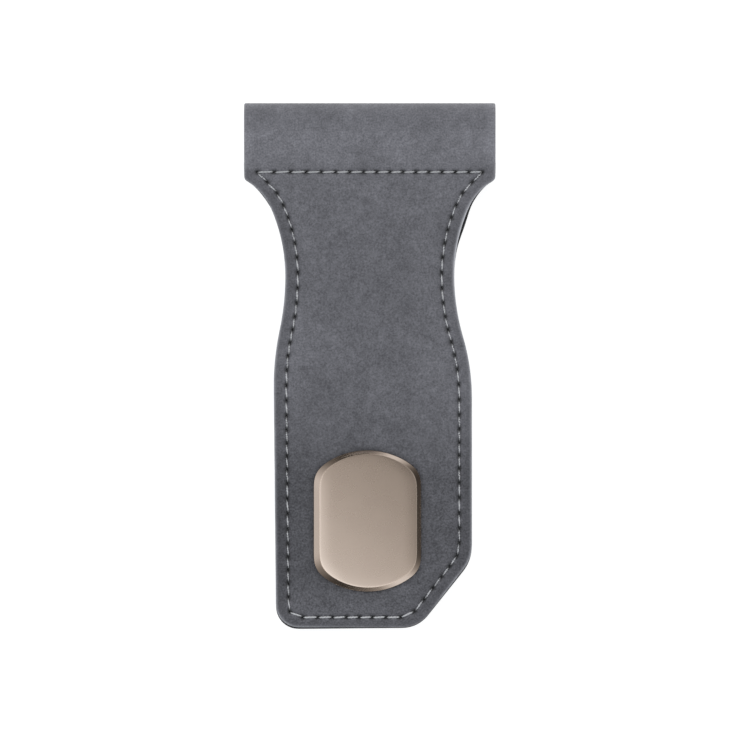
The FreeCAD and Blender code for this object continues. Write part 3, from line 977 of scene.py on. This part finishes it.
def champagne_metal():
    """Champagne-gold plating, polished on the bevel and satin on the face."""
    made, tree, shader = material("plate_champagne", Metallic=1.0)
    where = object_places(tree)
    satin = mark(tree, "satin")
    haze = speckle(tree, where, 3 * MM, 3)
    colour = tinted(tree, CHAMPAGNE, around_one(tree, haze, 0.02))
    tree.links.new(colour, shader.inputs["Base Color"])
    rough = maths(tree, "MULTIPLY_ADD", satin, 0.15, 0.11)
    rough = maths(tree, "MULTIPLY_ADD", haze, 0.03, rough)
    tree.links.new(rough, shader.inputs["Roughness"])
    return made


def painted_board():
    """Leatherboard with dark paint."""
    made, tree, shader = material("board_edge", Roughness=0.7)
    where = object_places(tree)
    fibres = speckle(tree, where, 0.3 * MM, 4, 0.7, 0.5)
    colour = tinted(tree, BOARD_BROWN, around_one(tree, fibres, 0.35))
    tree.links.new(colour, shader.inputs["Base Color"])
    raised(tree, shader, fibres, 0.05 * MM)
    return made


def plated_steel(name, colour, roughness):
    """Plating of that colour with faint stains, which are rougher."""
    made, tree, shader = material(name, Metallic=1.0)
    where = object_places(tree)
    stains = speckle(tree, where, 1.5 * MM, 4, 0.6)
    tree.links.new(tinted(tree, colour, around_one(tree, stains, 0.1)), shader.inputs["Base Color"])
    tree.links.new(maths(tree, "MULTIPLY_ADD", stains, 0.2, roughness), shader.inputs["Roughness"])
    raised(tree, shader, stains, 0.005 * MM)
    return made


def dress(made, finish):
    made.data.materials.clear()
    made.data.materials.append(finish)


# Studio


def make_floor():
    """A pale floor that glows a little, so that it photographs white."""
    corners = np.array([[-1, -1, 0], [1, -1, 0], [1, 1, 0], [-1, 1, 0]], float) * FLOOR_REACH
    made = make_mesh("floor", corners, [(0, 1, 2, 3)])
    made.location.z = BACK_LOW.z - FLOOR_GAP
    finish, tree, shader = material("floor_white", Roughness=0.9, Specular_IOR_Level=0.0,
                                    Emission_Color=WHITE, Emission_Strength=0.85)
    shade = around_one(tree, speckle(tree, object_places(tree), 0.4), 0.01)
    tree.links.new(tinted(tree, FLOOR_GREY, shade), shader.inputs["Base Color"])
    dress(made, finish)


def daylight(bright):
    """A grey of that brightness, warm where it is dark and cool where it is bright."""
    share = min(bright, 1)
    return bright, bright * (0.97 + 0.1 * share), bright * (0.93 + 0.23 * share), 1


def horizon(tree, x, y):
    """The light from the ring of soft boxes."""
    turn = maths(tree, "DIVIDE", maths(tree, "ARCTAN2", y, x), 2 * math.pi)
    share = maths(tree, "FRACT", maths(tree, "ADD", turn, 1))
    made = node(tree, "ShaderNodeValToRGB", {0: share})
    ramp = made.color_ramp
    for degrees, bright in HORIZON[1:]:
        ramp.elements.new(degrees / 360).color = daylight(bright)
    ramp.elements[0].color = ramp.elements[-1].color = daylight(HORIZON[0][1])
    return made.outputs[0]


def make_world():
    """The studio: soft boxes low down, a bright band above them and a dome. The camera sees it as white."""
    world = bpy.data.worlds.new("studio")
    bpy.context.scene.world = world
    world.use_nodes = True
    tree = world.node_tree
    direction = node(tree, "ShaderNodeTexCoord").outputs["Generated"]
    x, y, z = node(tree, "ShaderNodeSeparateXYZ", {0: direction}).outputs

    across = maths(tree, "MULTIPLY_ADD", y, DOME_TURN, x)
    slope = maths(tree, "TANH", maths(tree, "MULTIPLY", across, DOME_SLOPE))
    dome = tinted(tree, mixed(tree, slope, DOME_WARM, DOME_COOL), maths(tree, "EXPONENT", slope))
    climb = node(tree, "ShaderNodeMapRange", {"Value": z, "From Min": DOME_START, "From Max": DOME_END},
                 interpolation_type="SMOOTHSTEP").outputs[0]
    light = mixed(tree, climb, horizon(tree, x, y), dome)

    off_band = maths(tree, "DIVIDE", maths(tree, "SUBTRACT", z, BAND_HEIGHT), BAND_WIDTH)
    squared = maths(tree, "MULTIPLY", off_band, off_band)
    in_band = maths(tree, "EXPONENT", maths(tree, "MULTIPLY", squared, -1.0))
    band = tinted(tree, BAND_LIGHT, maths(tree, "MULTIPLY_ADD", across, BAND_FADE, 1.0))
    light = mixed(tree, in_band, light, band)
    seen = node(tree, "ShaderNodeLightPath").outputs["Is Camera Ray"]
    tree.links.new(mixed(tree, seen, light, WHITE), tree.nodes["Background"].inputs["Color"])


def make_lamp():
    """A soft box over the clip, which its metal doesn't mirror."""
    lamp = bpy.data.lights.new("soft_box", "AREA")
    lamp.shape = "RECTANGLE"
    lamp.size, lamp.size_y = LAMP_SIZE
    lamp.energy = LAMP_POWER
    made = bpy.data.objects.new("soft_box", lamp)
    made.location = LAMP_PLACE
    made.rotation_euler = (-made.location).to_track_quat("-Z", "Y").to_euler()
    made.visible_glossy = False
    bpy.context.scene.collection.objects.link(made)


def make_camera():
    """A long lens straight above the clip, as far off as makes the view that wide."""
    camera = bpy.data.cameras.new("camera")
    camera.lens, camera.sensor_width = LENS, SENSOR
    camera.clip_start = NEAREST_SEEN
    made = bpy.data.objects.new("camera", camera)
    made.location = (*VIEW_CENTRE, FRONT_HIGH.z + VIEW_WIDTH * LENS / SENSOR)
    bpy.context.scene.collection.objects.link(made)
    bpy.context.scene.camera = made
    bpy.context.scene.view_settings.view_transform = "Standard"


# The clip

FRONT_HOLES = needle_holes("front_leather", FRONT_LOW.z)
BACK_HOLES = needle_holes("back_leather", BACK_HIGH.z)
PLATE_LOW, PLATE_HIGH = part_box("clip_plate")
PLATE_FOOT = FRONT_HIGH.z
PLATE_OUTLINE = anticlockwise(flat_loops("clip_plate", PLATE_FOOT)[0])
PLATE_CENTRE = (PLATE_OUTLINE.min(axis=0) + PLATE_OUTLINE.max(axis=0)) / 2
FACE_OUTLINE = face_outline()

# The leather, as one strip
front_outline = hand_cut(anticlockwise(flat_loops("front_leather", FRONT_LOW.z)[0]))
back_outline = roll_out(hand_cut(anticlockwise(flat_loops("back_leather", BACK_HIGH.z)[0]), *BACK_CUT))[::-1]
both_outlines = np.vstack([open_at_fold(front_outline), open_at_fold(back_outline)])
strip_outline = finish_outline(both_outlines, LEATHER_SEED)
leather = make_mesh("leather_strip", *shell(
    strip_outline, strip_place, LEATHER, strip_relief, strip_marks, [FRONT_HOLES, roll_out(BACK_HOLES)],
    dense=(FOLD_Y - GRID_STEP, FOLD_END + GRID_STEP, FOLD_STEP)))
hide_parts("front_leather", "fold_leather", "back_leather")
dress(leather, nubuck())
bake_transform(leather)

# Each flap's lining, board and threads
thread = twisted_thread()
black = lining_leather()
board_edge = painted_board()
for flap, cut, holes, strip_holes, needle_depth, faces_down in (
        ("front", (), FRONT_HOLES, FRONT_HOLES, NEEDLE_DEPTH, True),
        ("back", BACK_CUT, BACK_HOLES, roll_out(BACK_HOLES), BACK_NEEDLE_DEPTH, False)):
    lining, place, seam = lining_sheet(f"{flap}_lining_sheet", f"{flap}_lining", cut, holes, faces_down)
    needle = stitches(f"{flap}_needle_stitches", strip_holes, strip_place, needle_depth, NEEDLE_SEED)
    bobbin = stitches(f"{flap}_bobbin_stitches", seam, place, BOBBIN_DEPTH, BOBBIN_SEED)
    stiffener = board(f"{flap}_board_sheet", f"{flap}_filler", cut)
    for piece, replaced, finish, slot in (
            (lining, "lining", black, "lining"), (needle, "needle_thread", thread, "thread"),
            (bobbin, "bobbin_thread", thread, "thread"), (stiffener, "filler", board_edge, "board")):
        dress(piece, finish)
        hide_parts(f"{flap}_{replaced}")
        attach(piece, f"{flap}_flap")

# The plate
plate = make_plate()
dress(plate, champagne_metal())
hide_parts("clip_plate")
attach(plate, "front_flap")

# The magnets, washers and screws are the CAD's
nickel = plated_steel("nickel_plating", NICKEL, 0.2)
zinc = plated_steel("zinc_plating", ZINC, 0.3)
for names, finish in ((("front_magnet", "back_magnet"), nickel), (("plate_washers", "plate_screws"), zinc)):
    for name in names:
        dress(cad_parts[name], finish)

make_floor()
make_world()
make_lamp()
make_camera()
